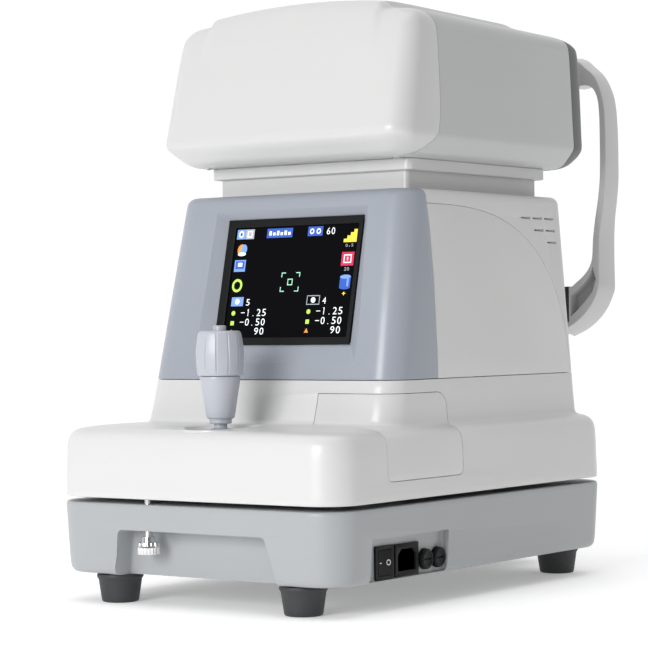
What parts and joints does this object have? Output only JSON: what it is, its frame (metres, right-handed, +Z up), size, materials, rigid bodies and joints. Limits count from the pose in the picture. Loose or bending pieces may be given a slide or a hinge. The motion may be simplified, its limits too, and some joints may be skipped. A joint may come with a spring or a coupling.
{
  "type": "autorefractor",
  "caption": "Table-top automatic refractor: measuring head on a lift over a leaning screen tower, joystick stage on a flat base, chin and forehead rest behind.",
  "frame": {"origin": "on the table top, midway between the four feet, under the middle of the base", "axes": "+X to the operator's right, +Y from the operator's side towards the patient, +Z up"},
  "size_m": [0.272, 0.4857, 0.466],
  "materials": {
    "white_plastic": "white moulded plastic, satin gloss",
    "base_grey_plastic": "silver grey paint, fine satin",
    "bezel_plastic": "cool grey-lilac moulded plastic, satin",
    "head_side_plastic": "light grey moulded plastic, satin",
    "head_rear_plastic": "mid grey moulded plastic, satin",
    "joystick_plastic": "cool grey-lilac moulded plastic, satin",
    "black_plastic": "black moulded plastic",
    "dark_plastic": "dark grey moulded plastic, fine texture",
    "black_rubber": "black rubber, matt",
    "pad_rubber": "off-white silicone, soft matt",
    "sheet_steel": "grey painted sheet steel",
    "bright_steel": "ground steel",
    "motor_steel": "black painted motor case",
    "cast_aluminium": "machined cast aluminium",
    "chrome": "bright chrome plate",
    "brass": "machined brass",
    "circuit_board": "green solder mask",
    "screen_glass": "glossy display panel",
    "black_metal": "black anodised aluminium, matt",
    "lens_glass": "coated optical glass",
    "ring_plastic": "translucent white diffuser",
    "paper": "white thermal paper"
  },
  "bodies": {
    "base": {"base_cover": "base_grey_plastic", "base_plate": "sheet_steel", "feet": "black_rubber", "switch_housing": "black_plastic", "inlet_socket": "black_plastic", "inlet_pins": "bright_steel", "fuse_holders": "black_plastic", "power_supply": "circuit_board", "travel_racks": "bright_steel", "rest_column": "white_plastic", "chin_beam": "dark_plastic", "rest_arms": "white_plastic", "forehead_band": "dark_plastic", "forehead_pad": "pad_rubber"},
    "rocker": {"power_rocker": "black_plastic"},
    "fuse_front": {"fuse_cap_front": "black_plastic"},
    "fuse_rear": {"fuse_cap_rear": "black_plastic"},
    "clamp": {"clamp_pad": "bright_steel"},
    "lock": {"lock_screw": "chrome"},
    "chin": {"chin_cup": "white_plastic", "chin_post": "bright_steel"},
    "chin_nut": {"chin_wheel": "black_plastic"},
    "carriage": {"carriage_frame": "cast_aluminium", "x_rails": "bright_steel"},
    "axle": {"cross_axle": "bright_steel", "axle_pinions": "brass"},
    "stage": {"stage_cover": "white_plastic", "stage_plate": "sheet_steel", "rail_blocks": "bright_steel", "tower_frame": "sheet_steel", "side_cover": "white_plastic", "rear_cover": "white_plastic", "front_bezel": "bezel_plastic", "lcd_frame": "black_plastic", "lcd_panel": "screen_glass", "main_board": "circuit_board", "neck_cover": "white_plastic", "guide_rods": "bright_steel", "lift_motor": "motor_steel", "printer_frame": "sheet_steel"},
    "screw": {"lead_screw": "bright_steel"},
    "printer_door": {"printer_cover": "white_plastic"},
    "platen": {"platen_roller": "black_rubber"},
    "roll": {"paper_roll": "paper"},
    "gimbal": {"gimbal_ring": "brass"},
    "lever": {"joystick_lever": "bright_steel", "joystick_cone": "joystick_plastic"},
    "ring": {"grip_ring": "joystick_plastic"},
    "button": {"measure_button": "joystick_plastic"},
    "head": {"head_front_cover": "white_plastic", "head_main_cover": "head_side_plastic", "head_rear_cap": "head_rear_plastic", "window_bezel": "dark_plastic", "head_collar": "white_plastic", "optical_bench": "cast_aluminium", "objective_barrel": "black_metal", "objective_lens": "lens_glass", "mire_ring": "ring_plastic", "camera": "black_metal"},
    "target": {"target_carriage": "black_metal"}
  },
  "joints": [
    {"name": "stage_fore_aft", "type": "slide", "parent": "base", "child": "carriage", "axis": [0, 1, 0], "range_m": [-0.02, 0.02]},
    {"name": "axle_roll", "type": "hinge", "parent": "carriage", "child": "axle", "pos_m": [0, 0.06, 0.094], "axis": [1, 0, 0], "range_deg": [-96, 96]},
    {"name": "stage_left_right", "type": "slide", "parent": "carriage", "child": "stage", "axis": [1, 0, 0], "range_m": [-0.043, 0.043]},
    {"name": "head_lift", "type": "slide", "parent": "stage", "child": "head", "axis": [0, 0, 1], "range_m": [-0.013, 0.017]},
    {"name": "lead_screw_turn", "type": "hinge", "parent": "stage", "child": "screw", "pos_m": [0, 0.06, 0.32], "axis": [0, 0, 1], "range_deg": [-470, 614]},
    {"name": "stick_tilt_fore", "type": "hinge", "parent": "stage", "child": "gimbal", "pos_m": [0, -0.156, 0.09], "axis": [1, 0, 0], "range_deg": [-10, 10]},
    {"name": "stick_tilt_side", "type": "hinge", "parent": "gimbal", "child": "lever", "pos_m": [0, -0.156, 0.09], "axis": [0, 1, 0], "range_deg": [-10, 10]},
    {"name": "grip_turn", "type": "hinge", "parent": "lever", "child": "ring", "pos_m": [0, -0.156, 0.19], "axis": [0, 0, 1], "range_deg": [-236, 308]},
    {"name": "button_press", "type": "slide", "parent": "lever", "child": "button", "axis": [0, 0, 1], "range_m": [-0.0015, 0], "stiffness_N_per_m": 400, "springref_m": 0.001},
    {"name": "printer_cover_pull", "type": "slide", "parent": "stage", "child": "printer_door", "axis": [1, 0, 0], "range_m": [0, 0.06]},
    {"name": "platen_turn", "type": "hinge", "parent": "stage", "child": "platen", "pos_m": [0.08, -0.088, 0.15], "axis": [1, 0, 0], "continuous": true},
    {"name": "paper_turn", "type": "hinge", "parent": "stage", "child": "roll", "pos_m": [0.08, -0.08, 0.106], "axis": [1, 0, 0], "continuous": true},
    {"name": "rocker_tilt", "type": "hinge", "parent": "base", "child": "rocker", "pos_m": [0.124, -0.1286, 0.0363], "axis": [0, 0, 1], "range_deg": [0, 12]},
    {"name": "fuse_front_turn", "type": "hinge", "parent": "base", "child": "fuse_front", "pos_m": [0.13, -0.0755, 0.0345], "axis": [1, 0, 0], "range_deg": [-90, 0]},
    {"name": "fuse_rear_turn", "type": "hinge", "parent": "base", "child": "fuse_rear", "pos_m": [0.13, -0.0585, 0.0345], "axis": [1, 0, 0], "range_deg": [-90, 0]},
    {"name": "clamp_rise", "type": "slide", "parent": "base", "child": "clamp", "axis": [0, 0, 1], "range_m": [-0.005, 0.0004]},
    {"name": "lock_turn", "type": "hinge", "parent": "clamp", "child": "lock", "pos_m": [-0.0434, -0.19, 0.06], "axis": [0, 0, 1], "range_deg": [-1890, 252]},
    {"name": "chin_lift", "type": "slide", "parent": "base", "child": "chin", "axis": [0, 0, 1], "range_m": [-0.03, 0.03]},
    {"name": "chin_nut_turn", "type": "hinge", "parent": "base", "child": "chin_nut", "pos_m": [0, 0.25, 0.217], "axis": [0, 0, 1], "range_deg": [-1082, 1082]},
    {"name": "target_focus", "type": "slide", "parent": "head", "child": "target", "axis": [0, 1, 0], "range_m": [-0.015, 0.015]}
  ],
  "couplings": [
    {"joint": "axle_roll", "follows": "stage_fore_aft", "rad_per_m": -83.333},
    {"joint": "lead_screw_turn", "follows": "head_lift", "rad_per_m": 628.32},
    {"joint": "grip_turn", "follows": "head_lift", "rad_per_m": 314.16},
    {"joint": "lock_turn", "follows": "clamp_rise", "rad_per_m": 6283.2},
    {"joint": "chin_nut_turn", "follows": "chin_lift", "rad_per_m": 628.32}
  ]
}
